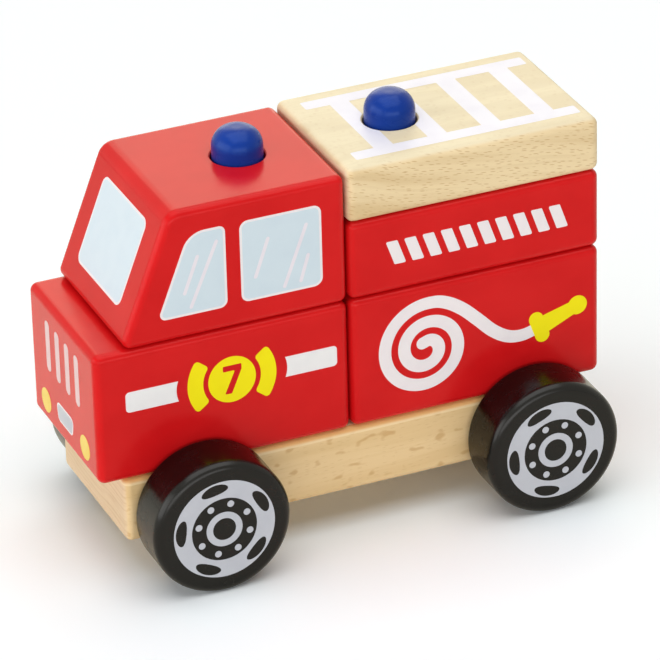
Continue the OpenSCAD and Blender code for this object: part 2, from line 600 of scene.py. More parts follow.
RED = Lacquer("Red lacquer", Slot.RED, tint(211, 24, 27), tint(204, 19, 23), gloss=(0.16, 0.25),
              refraction=1.37, sheen=(1.0, 0.38, 0.36, 1.0))
BLUE = Lacquer("Blue lacquer", Slot.BLUE, tint(16, 56, 148), tint(12, 49, 136), gloss=(0.22, 0.3),
               refraction=1.42, sheen=(0.3, 0.45, 0.8, 1.0))
BLACK = Lacquer("Black lacquer", Slot.BLACK, tint(10, 9, 9), tint(6, 5, 5), gloss=(0.2, 0.3),
                refraction=1.36)
# The board's wood, with painted shade on its rounded top edges and a painted highlight along their foot.
BEECH = Beech("Beech", Slot.BEECH, tint(236, 209, 160), tint(224, 194, 141), tint(184, 138, 82),
              tint(188, 138, 74), turn=-1.5, fleck_share=0.4, fleck_cover=0.22, blotch_cover=0.48,
              eased=tint(224, 168, 98), ridge=tint(252, 230, 186), eased_from=26.3)
# The top block's wood, with a painted sheen on faces that face up.
BEECH_TOP = Beech("Beech top block", Slot.BEECH, tint(235, 213, 170), tint(217, 190, 143),
                  tint(184, 139, 81), tint(204, 164, 110), turn=11.0, fleck_share=0.95, fleck_cover=0.55,
                  blotch_cover=0.0, upper_cover=0.5)
WHITE = Ink("White ink", Slot.WHITE, tint(238, 232, 235), tint(233, 226, 230))
SNOW = Ink("Snow ink", Slot.WHITE, tint(237, 235, 244), tint(233, 230, 240))
FOG = Ink("Fog ink", Slot.SILVER, tint(235, 235, 236), tint(229, 229, 231))
SKY = Ink("Sky ink", Slot.SKY, tint(205, 221, 231), tint(200, 217, 228))
# The sky ink made lighter for the windscreen: painted light, for the stronger light that falls on it.
SKY_LIT = Ink("Morning sky ink", Slot.SKY, tint(212, 226, 235), tint(207, 222, 232))
YELLOW = Ink("Yellow ink", Slot.YELLOW, tint(245, 231, 7), tint(240, 223, 5), refraction=1.25)
LAMP = Ink("Lamp ink", Slot.YELLOW, tint(236, 206, 92), tint(230, 198, 80))
SILVER = Ink("Silver ink", Slot.SILVER, tint(190, 194, 203), tint(182, 186, 196))
BLUSH = Ink("Blush ink", Slot.WHITE, tint(224, 194, 196), tint(218, 187, 190))
ROSE = Ink("Rose ink", Slot.WHITE, tint(230, 226, 234), tint(224, 218, 228))


# Outlines


def arc(centre: Sequence[float], radius: float, start: float, end: float, steps: int) -> Outline:
    """Lays the points of an arc, with both ends, between two angles in degrees and in so many chords."""
    turns = [math.radians(start + (end - start) * k / steps) for k in range(steps + 1)]
    return [Vector((centre[0] + radius * math.cos(t), centre[1] + radius * math.sin(t))) for t in turns]


def disc(centre: Sequence[float], radius: float, steps: int = 72) -> Outline:
    """Draws a full circle; see arc."""
    return arc(centre, radius, 0, 360 - 360 / steps, steps - 1)


def corner_bisector(corners: Sequence[Sequence[float]], i: int) -> tuple[Vector, Vector, Vector, float]:
    """Looks at one corner of a closed outline.

    Args:
        corners: The outline's corners.
        i: Index of the corner.

    Returns:
        The directions to the corner before and the one after, their bisector, and half the angle between.
    """
    here, before, after = (Vector(corners[k % len(corners)]) for k in (i, i - 1, i + 1))
    back, onward = (before - here).normalized(), (after - here).normalized()
    return back, onward, (back + onward).normalized(), back.angle(onward) / 2


def rounded(corners: Sequence[Sequence[float]], radii: float | Sequence[float], steps: int = 8) -> Outline:
    """Rounds the corners of a closed outline.

    Args:
        corners: The sharp corners, in order.
        radii: One radius for all the corners, or one for each; 0 leaves a corner sharp.
        steps: Chords in each arc.

    Returns:
        The outline, with an arc in place of each corner.
    """
    if not isinstance(radii, Sequence):
        radii = [radii] * len(corners)
    outline: Outline = []
    for i, (corner, radius) in enumerate(zip(corners, radii)):
        if not radius:
            outline.append(Vector(corner))
            continue
        back, onward, inward, half = corner_bisector(corners, i)
        centre = Vector(corner) + inward * radius / math.sin(half)
        reach = radius / math.tan(half)
        start, end = (Vector(corner) + way * reach - centre for way in (back, onward))
        sweep = -start.angle_signed(end)
        outline += [centre + Matrix.Rotation(sweep * k / steps, 2) @ start for k in range(steps + 1)]
    return outline


def inset(corners: Sequence[Sequence[float]], by: float) -> Outline:
    """Draws a convex outline smaller by an even rim."""
    bends = [corner_bisector(corners, i)[2:] for i in range(len(corners))]
    return [Vector(corner) + inward * by / math.sin(half) for corner, (inward, half) in zip(corners, bends)]


def box_corners(low: Sequence[float], high: Sequence[float]) -> list[Pair]:
    """Lists a rectangle's corners, counter-clockwise from its lowest."""
    return [(low[0], low[1]), (high[0], low[1]), (high[0], high[1]), (low[0], high[1])]


# Ink sheets: an ink's thickness, and the gap below which two of its points are one

INK_T = 0.08
MERGE = 0.002


@dataclass(frozen=True)
class Face:
    """A flat face that takes a print.

    Attributes:
        origin: The print's own zero.
        across: Direction of the print's first axis.
        up: Direction of the print's second axis.
        outward: The face's normal.
        SINK: How deep the first ink sits.
        PASS: How much higher each next ink sits.
    """

    origin: Vector
    across: Vector
    up: Vector
    outward: Vector

    SINK = 0.03
    PASS = 0.03

    def place(self, layer: Layer) -> Matrix:
        """Gives the matrix that lays a flat mesh on the face.

        Args:
            layer: The ink's pass on the press.

        Returns:
            The matrix, from millimetres on the print to metres in the frame.
        """
        turn = Matrix((self.across, self.up, self.outward)).transposed().to_4x4()
        seat = self.origin + self.outward * (layer.value * self.PASS - self.SINK)
        return Matrix.Scale(MM, 4) @ Matrix.Translation(seat) @ turn

    def moved(self, across: float, up: float) -> "Face":
        """Gives the same face with its zero moved along its own axes."""
        return Face(self.origin + self.across * across + self.up * up, self.across, self.up, self.outward)


def put_in_scene(name: str, data: bpy.types.ID) -> bpy.types.Object:
    """Makes an object and links it to the scene.

    Args:
        name: Name of the object.
        data: Its mesh, curve, lamp or lens.

    Returns:
        The object.
    """
    made = bpy.data.objects.new(name, data)
    bpy.context.scene.collection.objects.link(made)
    return made


def plain_mesh(source: bpy.types.Object) -> Mesh:
    """Turns a scratch object, with its modifiers, into a plain mesh and removes it.

    Args:
        source: The scratch object.

    Returns:
        The mesh.
    """
    graph = bpy.context.evaluated_depsgraph_get()
    mesh = bpy.data.meshes.new_from_object(source.evaluated_get(graph), depsgraph=graph)
    bpy.data.objects.remove(source)
    return mesh


def flat_sheet(outlines: Iterable[Outline]) -> Mesh:
    """Fills outlines as one thin sheet, with an outline inside another left open.

    Args:
        outlines: The closed outlines.

    Returns:
        The sheet, from 0 to the ink's thickness.
    """
    curve = bpy.data.curves.new("sheet", "CURVE")
    curve.dimensions, curve.fill_mode, curve.extrude = "2D", "BOTH", INK_T / 2
    for outline in outlines:
        spline = curve.splines.new("POLY")
        spline.points.add(len(outline) - 1)
        for point, place in zip(spline.points, outline):
            point.co = (place.x, place.y, 0, 1)
        spline.use_cyclic_u = True
    mesh = plain_mesh(put_in_scene("sheet", curve))
    mesh.transform(Matrix.Translation((0, 0, INK_T / 2)))
    return mesh


def bored(sheet: Mesh, centre: Sequence[float], radius: float) -> Mesh:
    """Cuts a round opening through a sheet.

    Args:
        sheet: The sheet, in millimetres on the print.
        centre: The opening's centre on the print.
        radius: The opening's radius.

    Returns:
        The sheet with its opening.
    """
    shape = bmesh.new()
    bmesh.ops.create_cone(shape, cap_ends=True, segments=96, radius1=radius, radius2=radius, depth=1.0,
                          matrix=Matrix.Translation((*centre, 0)))
    drill = put_in_scene("drill", bpy.data.meshes.new("drill"))
    shape.to_mesh(drill.data)
    shape.free()
    blank = put_in_scene("blank", sheet)
    cut = blank.modifiers.new("opening", "BOOLEAN")
    cut.operation, cut.solver, cut.object = "DIFFERENCE", "EXACT", drill
    made = plain_mesh(blank)
    bpy.data.objects.remove(drill)
    return made


def lay_ink(name: str, mesh: Mesh, face: Face, ink: Ink, body: str, layer: Layer = Layer.FIRST) -> None:
    """Lays a flat mesh on a face as a print of its own.

    Args:
        name: Name of the piece.
        mesh: The flat mesh, in millimetres on the print.
        face: The face that takes it.
        ink: The ink.
        body: The body that carries it.
        layer: The ink's pass on the press.
    """
    mesh.name = name
    mesh.transform(face.place(layer))
    skin = bmesh.new()
    skin.from_mesh(mesh)
    bmesh.ops.remove_doubles(skin, verts=skin.verts, dist=MERGE * MM)
    bmesh.ops.recalc_face_normals(skin, faces=skin.faces)
    skin.to_mesh(mesh)
    skin.free()
    mesh.shade_flat()
    mesh.materials.clear()
    mesh.materials.append(ink.material())
    piece = put_in_scene(name, mesh)
    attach(piece, body)
    log.info("printed %s in %s: %d faces", name, ink.name, len(mesh.polygons))


# Prints that repeat or follow a path, by Geometry Nodes


@dataclass(frozen=True)
class PrintTree:
    """A Geometry Nodes tree that draws a thin sheet of ink; its fields are its named sizes."""

    NAME = ""
    KINDS = {"Count": "NodeSocketInt", "Ink": "NodeSocketMaterial"}

    def sizes(self) -> dict[str, float]:
        """Gives the fields by the names of the tree's inputs."""
        return {size.name.replace("_", " ").capitalize(): getattr(self, size.name) for size in fields(self)}

    def draw(self, wiring: Wiring, given: Sockets) -> Socket:
        """Draws the print.

        Args:
            wiring: The tree's wiring.
            given: The tree's inputs.

        Returns:
            The print's geometry.
        """
        raise NotImplementedError

    @staticmethod
    def thicken(wiring: Wiring, flat: Socket, given: Sockets) -> Socket:
        """Gives a flat mesh the thickness of the ink, closed all round.

        Args:
            wiring: The tree's wiring.
            flat: The flat mesh.
            given: The tree's inputs.

        Returns:
            The closed sheet.
        """
        raised = wiring.add("GeometryNodeExtrudeMesh", {"Mesh": flat, "Offset": Z, "Individual": False,
                                                        "Offset Scale": given["Thickness"]})["Mesh"]
        under = wiring.add("GeometryNodeFlipFaces", {"Mesh": flat})[0]
        both = wiring.tree.nodes.new("GeometryNodeJoinGeometry")
        for half in (raised, under):
            wiring.feed(both, {0: half})
        return wiring.add("GeometryNodeMergeByDistance", {"Geometry": both.outputs[0], "Distance": MERGE})[0]

    def tree(self) -> bpy.types.NodeTree:
        """Builds the tree the first time, and hands out the same one after that.

        Returns:
            The tree.
        """
        if self.NAME in bpy.data.node_groups:
            return bpy.data.node_groups[self.NAME]
        tree = bpy.data.node_groups.new(self.NAME, "GeometryNodeTree")
        tree.is_modifier = True
        tree.interface.new_socket("Geometry", in_out="INPUT", socket_type="NodeSocketGeometry")
        for size in (*self.sizes(), "Thickness", "Ink"):
            kind = self.KINDS.get(size, "NodeSocketFloat")
            tree.interface.new_socket(size, in_out="INPUT", socket_type=kind)
        tree.interface.new_socket("Geometry", in_out="OUTPUT", socket_type="NodeSocketGeometry")
        wiring = Wiring(tree)
        given = wiring.add("NodeGroupInput")
        real = wiring.add("GeometryNodeRealizeInstances", {0: self.draw(wiring, given)})[0]
        inked = wiring.add("GeometryNodeSetMaterial", {"Geometry": real, "Material": given["Ink"]})[0]
        wiring.add("NodeGroupOutput", {0: inked})
        return tree

    def mesh(self, ink: Ink, start: Mesh | None = None) -> Mesh:
        """Runs the tree with its sizes.

        Args:
            ink: The ink of the print.
            start: The mesh that the tree starts from, where it follows one.

        Returns:
            The print as a plain flat mesh.
        """
        base = put_in_scene("print", start or bpy.data.meshes.new("print"))
        modifier = base.modifiers.new("print", "NODES")
        modifier.node_group = self.tree()
        values = self.sizes() | {"Thickness": INK_T, "Ink": ink.material()}
        for socket in self.tree().interface.items_tree:
            if socket.in_out == "INPUT" and socket.name in values:
                modifier[socket.identifier] = values[socket.name]
        return plain_mesh(base)


@dataclass(frozen=True)
class BarRow(PrintTree):
    """A row of bars, centred on the print's zero.

    Attributes:
        count: Number of bars.
        pitch: From one bar to the next.
        width: Width of a bar.
        height: Height of a bar.
        slant: How far a bar's top stands to the side of its foot.
        corner: Radius of a bar's corners.
    """

    count: int
    pitch: float
    width: float
    height: float
    slant: float = 0.0
    corner: float = 0.0

    NAME = "Row of bars"
    CORNER_STEPS = 8

    def draw(self, wiring: Wiring, given: Sockets) -> Socket:
        """Draws one bar and repeats it along the row.

        Args:
            wiring: The tree's wiring.
            given: The tree's inputs.

        Returns:
            The bars, as instances.
        """
        sides = {"Width": given["Width"], "Height": given["Height"], "Offset": given["Slant"]}
        bar = wiring.add("GeometryNodeCurvePrimitiveQuadrilateral", sides, mode="PARALLELOGRAM")[0]
        corner = {"Count": self.CORNER_STEPS, "Radius": given["Corner"], "Limit Radius": True}
        soft = wiring.add("GeometryNodeFilletCurve", {"Curve": bar, **corner}, mode="POLY")[0]
        flat = wiring.add("GeometryNodeFillCurve", {"Curve": soft}, mode="NGONS")[0]
        half = wiring.calc("MULTIPLY", wiring.calc("SUBTRACT", given["Count"], 1.0), -0.5)
        first, step = (wiring.add("ShaderNodeCombineXYZ", {"X": along})[0]
                       for along in (wiring.calc("MULTIPLY", half, given["Pitch"]), given["Pitch"]))
        row = wiring.add("GeometryNodeMeshLine", {"Count": given["Count"], "Start Location": first,
                                                  "Offset": step}, mode="OFFSET")[0]
        sheet = self.thicken(wiring, flat, given)
        return wiring.add("GeometryNodeInstanceOnPoints", {"Points": row, "Instance": sheet})[0]


@dataclass(frozen=True)
class DotRing(PrintTree):
    """A ring of round dots about the print's zero.

    Attributes:
        count: Number of dots.
        ring_radius: From the zero to the dots' centres.
        dot_radius: Radius of a dot.
    """

    count: int
    ring_radius: float
    dot_radius: float

    NAME = "Ring of dots"
    DOT_STEPS = 28

    def draw(self, wiring: Wiring, given: Sockets) -> Socket:
        """Draws one dot and repeats it round the ring.

        Args:
            wiring: The tree's wiring.
            given: The tree's inputs.

        Returns:
            The dots, as instances.
        """
        dot = wiring.add("GeometryNodeMeshCircle", {"Vertices": self.DOT_STEPS,
                                                    "Radius": given["Dot radius"]}, fill_type="NGON")[0]
        ring = wiring.add("GeometryNodeMeshCircle", {"Vertices": given["Count"],
                                                     "Radius": given["Ring radius"]})[0]
        sheet = self.thicken(wiring, dot, given)
        return wiring.add("GeometryNodeInstanceOnPoints", {"Points": ring, "Instance": sheet})[0]


class Ribbon(PrintTree):
    """A flat band along a chain of points, as wide as their half_width attribute says."""

    NAME = "Ribbon"
    HALF_WIDTH = "half_width"
    CAP_STEPS = 12
    CAP_START = 0.1

    def draw(self, wiring: Wiring, given: Sockets) -> Socket:
        """Sweeps the band along its chain.

        Args:
            wiring: The tree's wiring.
            given: The tree's inputs.

        Returns:
            The closed band.
        """
        path = wiring.add("GeometryNodeMeshToCurve", {"Mesh": given["Geometry"]})[0]
        level = wiring.add("GeometryNodeSetCurveNormal", {"Curve": path}, mode="Z_UP")[0]
        width = wiring.add("GeometryNodeInputNamedAttribute", {"Name": self.HALF_WIDTH}, data_type="FLOAT")
        across = wiring.add("GeometryNodeCurvePrimitiveLine", {"Start": -X, "End": X})[0]
        flat = wiring.add("GeometryNodeCurveToMesh", {"Curve": level, "Profile Curve": across,
                                                      "Scale": width["Attribute"]})[0]
        return self.thicken(wiring, flat, given)

    def along(self, points: Outline, width: float, ink: Ink) -> Mesh:
        """Draws a band with a round cap about its first point.

        Args:
            points: The band's middle line.
            width: Width of the band.
            ink: The ink of the band.

        Returns:
            The band as a plain flat mesh.
        """
        half, back = width / 2, (points[0] - points[1]).normalized()
        turns = [math.pi / 2 * (k + self.CAP_START) / self.CAP_STEPS for k in range(self.CAP_STEPS)]
        line = [points[0] + back * half * math.cos(turn) for turn in turns] + list(points)
        chain = bpy.data.meshes.new("chain")
        chain.from_pydata([(p.x, p.y, 0) for p in line], [(i, i + 1) for i in range(len(line) - 1)], [])
        halves = chain.attributes.new(self.HALF_WIDTH, "FLOAT", "POINT")
        halves.data.foreach_set("value", [half * math.sin(turn) for turn in turns] + [half] * len(points))
        return self.mesh(ink, chain)


# The toy's sub-assemblies


def paint(node: str, finish: Finish) -> None:
    """Gives a solid its finish.

    Args:
        node: Name of the solid.
        finish: The finish.
    """
    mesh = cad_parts[node].data
    mesh.materials.clear()
    mesh.materials.append(finish.material())
    log.info("finished %s in %s", node, finish.name)


@dataclass
class Block:
    """A block of a stack, with the faces that take its prints.

    Attributes:
        node: The block's solid.
        body: The body that carries it.
        finish: The block's finish.
        low: The lowest corner of its box.
        high: The highest corner of its box.
    """

    node: str
    body: str
    finish: Finish = RED
    low: Vector = field(init=False)
    high: Vector = field(init=False)

    def __post_init__(self) -> None:
        """Reads the block's box from the frame."""
        self.low, self.high = (Vector(corner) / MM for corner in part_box(self.node))

    def side(self, hand: Hand) -> Face:
        """Gives a side of the block, with its zero at the middle of the block's foot and X forward."""
        middle = (self.low + self.high) / 2
        return Face(Vector((middle.x, hand.value * self.high.y, self.low.z)), X, Z, Y * hand.value)

    def dress(self) -> None:
        """Gives the block its finish."""
        paint(self.node, self.finish)


@dataclass
class RollingBoard:
    """The beech board with its axle dowels and its two blue pegs.

    Attributes:
        beech: The solids of bare wood.
        blue: The solids in blue lacquer.
    """

    beech: tuple[str, ...] = ("chassis_board", "front_axle", "rear_axle")
    blue: tuple[str, ...] = ("front_peg", "rear_peg")

    def dress(self) -> None:
        """Gives the board, the axles and the pegs their finishes."""
        for nodes, finish in ((self.beech, BEECH), (self.blue, BLUE)):
            for node in nodes:
                paint(node, finish)


@dataclass
class Bonnet(Block):
    """The bonnet block: side stripes with a roundel between them, and the nose with lamps and grille.

    Stripes and tabs are placed from the roundel's centre, and the nose's prints from the middle of its foot.
    """

    node: str = "bonnet_block"
    body: str = "bonnet"
    roundel_x: float = -2.1
    roundel_z: float = 21.0
    roundel_r: float = 6.1
    tab_radii: Pair = (7.4, 11.4)
    tab_half_angle: float = 38.0
    tab_corner: float = 0.9
    tab_steps: tuple[int, int] = (10, 12)
    numeral_h: float = 7.6
    numeral_corner: float = 0.28
    numeral_shape: tuple[Pair, ...] = (
        (-0.3, 0.5), (0.33, 0.5), (0.33, 0.3), (-0.015, -0.5), (-0.255, -0.5), (0.105, 0.3), (-0.3, 0.3))
    stripe_from: float = 13.7
    stripe_to: float = 27.1
    stripe_h: float = 5.4
    stripe_bow: float = 0.5
    stripe_corner: float = 1.0
    rim: float = 0.45
    lamp_y: float = 13.0
    lamp_z: float = 6.3
    lamp_r: float = 3.15
    grille: BarRow = BarRow(count=4, pitch=6.45, width=2.8, height=13.6, corner=1.372)
    grille_z: float = 22.7
    plate_top: float = 11.6
    plate_foot: float = 9.4
    plate_h: float = 5.0
    plate_z: float = 7.5
    plate_corner: float = 1.6

    def stripe(self, way: int, rim: float) -> Outline:
        """Draws one side stripe, its outer end rounded and its inner end hollow.

        Args:
            way: 1 for the front stripe, -1 for the rear one.
            rim: How far the outline stands in from the stripe's edge.

        Returns:
            The outline, from the roundel's centre.
        """
        half = self.stripe_h / 2 - rim
        near, far = self.stripe_from + rim, self.stripe_to - rim
        bow_r = (half ** 2 + self.stripe_bow ** 2) / (2 * self.stripe_bow)
        swing = math.degrees(math.asin(half / bow_r))
        hollow = arc((near + self.stripe_bow - bow_r, 0), bow_r, swing, -swing, steps=10)
        radius = self.stripe_corner - rim
        outer = (arc((far - radius, -half + radius), radius, -90, 0, steps=6)
                 + arc((far - radius, half - radius), radius, 0, 90, steps=6))
        return [Vector((way * p.x, p.y)) for p in hollow + outer]

    def numeral(self) -> Outline:
        """Draws a plain seven about the roundel's centre, from corners in shares of its height."""
        corners = [(x * self.numeral_h, z * self.numeral_h) for x, z in self.numeral_shape]
        return rounded(corners, self.numeral_corner, steps=4)

    def tab(self, way: int) -> Outline:
        """Draws the curved tab on one side of the roundel.

        Args:
            way: 1 for the tab at the right of the print, -1 for the one at its left.

        Returns:
            The tab's outline, about the roundel's centre.
        """
        (inner, outer), span = self.tab_radii, self.tab_half_angle
        inner_steps, outer_steps = self.tab_steps
        corner = self.tab_corner
        radii = [corner, *[0.0] * (outer_steps - 1), corner, corner, *[0.0] * (inner_steps - 1), corner]
        edge = arc((0, 0), outer, -span, span, outer_steps) + arc((0, 0), inner, span, -span, inner_steps)
        return [Vector((way * p.x, p.y)) for p in rounded(edge, radii, steps=4)]

    def print_sides(self) -> None:
        """Prints the stripes and the roundel on both sides."""
        for hand in Hand:
            side = self.side(hand).moved(self.roundel_x, self.roundel_z)
            edges = [self.stripe(way, 0.0) for way in (1, -1)]
            lay_ink(f"stripe_edges_{hand.tag}", flat_sheet(edges), side, WHITE, self.body)
            fills = [self.stripe(way, self.rim) for way in (1, -1)]
            lay_ink(f"stripe_fills_{hand.tag}", flat_sheet(fills), side, FOG, self.body, Layer.SECOND)
            reading = Face(side.origin, -X * hand.value, Z, side.outward)
            badge = [disc((0, 0), self.roundel_r), self.numeral(), self.tab(1), self.tab(-1)]
            lay_ink(f"roundel_{hand.tag}", flat_sheet(badge), reading, YELLOW, self.body)

    def print_nose(self) -> None:
        """Prints the grille, the lamps and the plate on the nose."""
        nose = Face(Vector((self.high.x, 0, self.low.z)), Y, Z, X)
        lay_ink("grille_bars", self.grille.mesh(BLUSH), nose.moved(0, self.grille_z), BLUSH, self.body)
        lamps = [disc((way * self.lamp_y, self.lamp_z), self.lamp_r) for way in (1, -1)]
        lay_ink("headlamps", flat_sheet(lamps), nose, LAMP, self.body)
        half = self.plate_h / 2
        corners = [(-self.plate_foot / 2, -half), (self.plate_foot / 2, -half),
                   (self.plate_top / 2, half), (-self.plate_top / 2, half)]
        seat = nose.moved(0, self.plate_z)
        edge = rounded(corners, self.plate_corner)
        lay_ink("plate_edge", flat_sheet([edge]), seat, WHITE, self.body)
        fill = rounded(inset(corners, self.rim), self.plate_corner - self.rim)
        lay_ink("plate_fill", flat_sheet([fill]), seat, SILVER, self.body, Layer.SECOND)

    def dress(self) -> None:
        """Lacquers and prints the block."""
        super().dress()
        self.print_sides()
        self.print_nose()


@dataclass
class Cab(Block):
    """The cab block, with a smooth skin over its blended edges and its printed windows.

    Window places are from the back of the block and from its foot, and the windscreen's are along its slope.
    """

    node: str = "cab_block"
    body: str = "cab"
    weld: float = 0.001
    crease: float = 32.0
    screen_lean: float = 21.5
    screen_foot: float = 58.0
    screen_half_w: float = 13.7
    screen_from: float = 7.9
    screen_to: float = 30.6
    screen_corner: float = 2.3
    rim: float = 0.6
    front_window: tuple[Pair, ...] = ((30.8, 6.1), (48.6, 6.1), (40.0, 27.6), (30.8, 27.6))
    front_corners: tuple[float, ...] = (1.9, 1.5, 6.0, 1.6)
    rear_window: tuple[Pair, ...] = ((6.4, 6.3), (27.2, 6.3), (27.2, 27.6), (6.4, 27.6))
    rear_corners: tuple[float, ...] = (2.2, 2.0, 2.2, 2.0)
    glints: tuple[tuple[Pair, Pair], ...] = (
        ((38.0, 21.0), (41.5, 12.0)), ((33.1, 23.9), (40.0, 8.1)), ((20.1, 21.7), (23.5, 12.3)),
        ((10.3, 23.2), (16.2, 8.1)), ((10.0, 15.1), (12.0, 8.7)))
    glint_w: float = 0.9

    def skin(self) -> None:
        """Lays a copy of the solid, as one smooth skin, in place of the solid."""
        solid = bmesh.new()
        solid.from_mesh(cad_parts[self.node].data)
        bmesh.ops.remove_doubles(solid, verts=solid.verts, dist=self.weld * MM)
        solid.verts.index_update()
        mesh = bpy.data.meshes.new("cab_skin")
        faces = [[v.index for v in f.verts] for f in solid.faces]
        mesh.from_pydata([v.co[:] for v in solid.verts], [], faces)
        solid.free()
        mesh.shade_smooth()
        mesh.set_sharp_from_angle(angle=math.radians(self.crease))
        mesh.materials.append(self.finish.material())
        piece = put_in_scene("cab_skin", mesh)
        piece.modifiers.new("flat faces stay flat", "WEIGHTED_NORMAL").keep_sharp = True
        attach(piece, self.body)
        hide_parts(self.node)
        log.info("lacquered %s in place of %s", piece.name, self.node)

    def glint(self, top: Pair, foot: Pair) -> Outline:
        """Draws one slanted glint between its ends, both round."""
        slant = math.degrees(math.atan2(top[1] - foot[1], top[0] - foot[0]))
        return [p for end, way in ((foot, slant + 180), (top, slant))
                for p in arc(end, self.glint_w / 2, way - 90, way + 90, steps=8)]

    def print_window(self, name: str, windows: list[tuple[Sequence, Sequence[float]]], face: Face,
                     pane: Ink = SKY) -> None:
        """Prints windows as white frames with sky panes in them.

        Args:
            name: Name of the windows.
            windows: Corners and corner radii of each window.
            face: The face that takes them.
            pane: The panes' ink.
        """
        frames = [rounded(corners, radii) for corners, radii in windows]
        lay_ink(f"{name}_frame", flat_sheet(frames), face, WHITE, self.body)
        panes = [rounded(inset(corners, self.rim), [radius - self.rim for radius in radii])
                 for corners, radii in windows]
        lay_ink(f"{name}_pane", flat_sheet(panes), face, pane, self.body, Layer.SECOND)

    def dress(self) -> None:
        """Lacquers and prints the block."""
        self.skin()
        lean = math.radians(self.screen_lean)
        slope = Vector((-math.sin(lean), 0, math.cos(lean)))
        screen = Face(Vector((self.low.x + self.screen_foot, 0, self.low.z)), Y, slope, Y.cross(slope))
        shape = box_corners((-self.screen_half_w, self.screen_from), (self.screen_half_w, self.screen_to))
        # The windscreen takes the lighter copy of the sky ink: painted light.
        self.print_window("windscreen", [(shape, [self.screen_corner] * 4)], screen, SKY_LIT)
        windows = [(self.front_window, self.front_corners), (self.rear_window, self.rear_corners)]
        for hand in Hand:
            back = Face(Vector((self.low.x, hand.value * self.high.y, self.low.z)), X, Z, Y * hand.value)
            self.print_window(f"side_windows_{hand.tag}", windows, back)
            shines = [self.glint(*ends) for ends in self.glints]
            lay_ink(f"window_glints_{hand.tag}", flat_sheet(shines), back, ROSE, self.body, Layer.THIRD)


@dataclass
class HoseBlock(Block):
    """The lower rear block, with a coiled hose and its nozzle on each side.

    The coil is a spiral about its own centre, and the tail and the nozzle are placed from that centre.
    """

    node: str = "hose_block"
    body: str = "hose"
    coil_x: float = 13.4
    coil_z: float = 17.35
    coil_pitch: float = 5.1
    coil_start_r: float = 1.85
    coil_turns: float = 2.04
    coil_start: float = 84.0
    coil_lead: float = 0.8
    coil_steps: int = 150
    coil_crowding: float = 0.75
    band_w: float = 3.25
    tail: tuple[Pair, ...] = (
        (-5.65, 11.1), (-9.65, 8.5), (-13.65, 4.7), (-17.65, 0.7), (-21.65, -1.8), (-25.65, -2.35))
    tail_lead: int = 8
    tail_steps: int = 8
    nozzle_foot: Pair = (-30.05, -1.25)
    nozzle_tip: Pair = (-40.35, 2.45)
    collar_half_l: float = 4.4
    collar_half_w: float = 1.9
    barrel_half_w: Pair = (2.4, 1.85)
    shoulder: float = 0.6
    bulb_r: float = 2.55

    def coil(self) -> Outline:
        """Works out the hose's middle line, from the inside of the coil to the nozzle.

        Returns:
            The points, about the coil's centre.
        """
        line: Outline = []
        for k in range(self.coil_steps + 1):
            turn = self.coil_turns * (k / self.coil_steps) ** self.coil_crowding
            angle = math.radians(self.coil_start) + turn * math.tau
            radius = self.coil_start_r + turn * self.coil_pitch
            line.append(Vector((math.cos(angle), math.sin(angle))) * radius)
        line.insert(0, line[0] - (line[1] - line[0]).normalized() * self.coil_lead)
        knots = [line[-self.tail_lead], line[-1], *map(Vector, self.tail), Vector(self.nozzle_foot)]
        knots.append(knots[-1] * 2 - knots[-2])
        for stretch in zip(knots, knots[1:], knots[2:], knots[3:]):
            line += [self.catmull(*stretch, k / self.tail_steps) for k in range(1, self.tail_steps + 1)]
        return line

    @staticmethod
    def catmull(before: Vector, start: Vector, end: Vector, after: Vector, share: float) -> Vector:
        """Finds a point, a share of the way from start to end, on the smooth curve through four knots."""
        return 0.5 * (2 * start + (end - before) * share
                      + (2 * before - 5 * start + 4 * end - after) * share ** 2
                      + (3 * start - before - 3 * end + after) * share ** 3)

    def nozzle(self) -> Outline:
        """Draws the nozzle: a rounded collar, a tapered barrel and a round mouth.

        Returns:
            The outline, about the coil's centre.
        """
        foot, tip = Vector(self.nozzle_foot), Vector(self.nozzle_tip)
        length = (tip - foot).length
        root, mouth = self.barrel_half_w
        collar_l, collar_w = self.collar_half_l, self.collar_half_w
        neck = math.degrees(math.asin(mouth / self.bulb_r))
        half = [Vector((-collar_w, 0)), *arc((0, collar_l - collar_w), collar_w, 180, 0, steps=10)]
        half += [Vector((collar_w, root)), Vector((collar_w + self.shoulder, root))]
        half += arc((length, 0), self.bulb_r, 180 - neck, 0, steps=14)
        other = [Vector((p.x, -p.y)) for p in reversed(half[1:-1])]
        along = (tip - foot).normalized()
        turn = Matrix((along, (-along.y, along.x))).transposed()
        return [foot + turn @ p for p in half + other]

    def dress(self) -> None:
        """Lacquers and prints the block."""
        super().dress()
        for hand in Hand:
            side = self.side(hand).moved(self.coil_x, self.coil_z)
            band = Ribbon().along(self.coil(), self.band_w, WHITE)
            lay_ink(f"hose_coil_{hand.tag}", band, side, WHITE, self.body)
            nozzle = flat_sheet([self.nozzle()])
            lay_ink(f"hose_nozzle_{hand.tag}", nozzle, side, YELLOW, self.body, Layer.SECOND)


@dataclass
class StripeBlock(Block):
    """The middle rear block, with a row of slanted white bars on each side."""

    node: str = "stripe_block"
    body: str = "stripe"
    row: BarRow = BarRow(count=10, pitch=4.75, width=3.0, height=6.3, slant=2.2, corner=0.35)
    row_x: float = -0.5
    row_z: float = 10.6

    def dress(self) -> None:
        """Lacquers and prints the block."""
        super().dress()
        for hand in Hand:
            side = self.side(hand).moved(self.row_x, self.row_z)
            lay_ink(f"slant_bars_{hand.tag}", self.row.mesh(WHITE), side, WHITE, self.body)


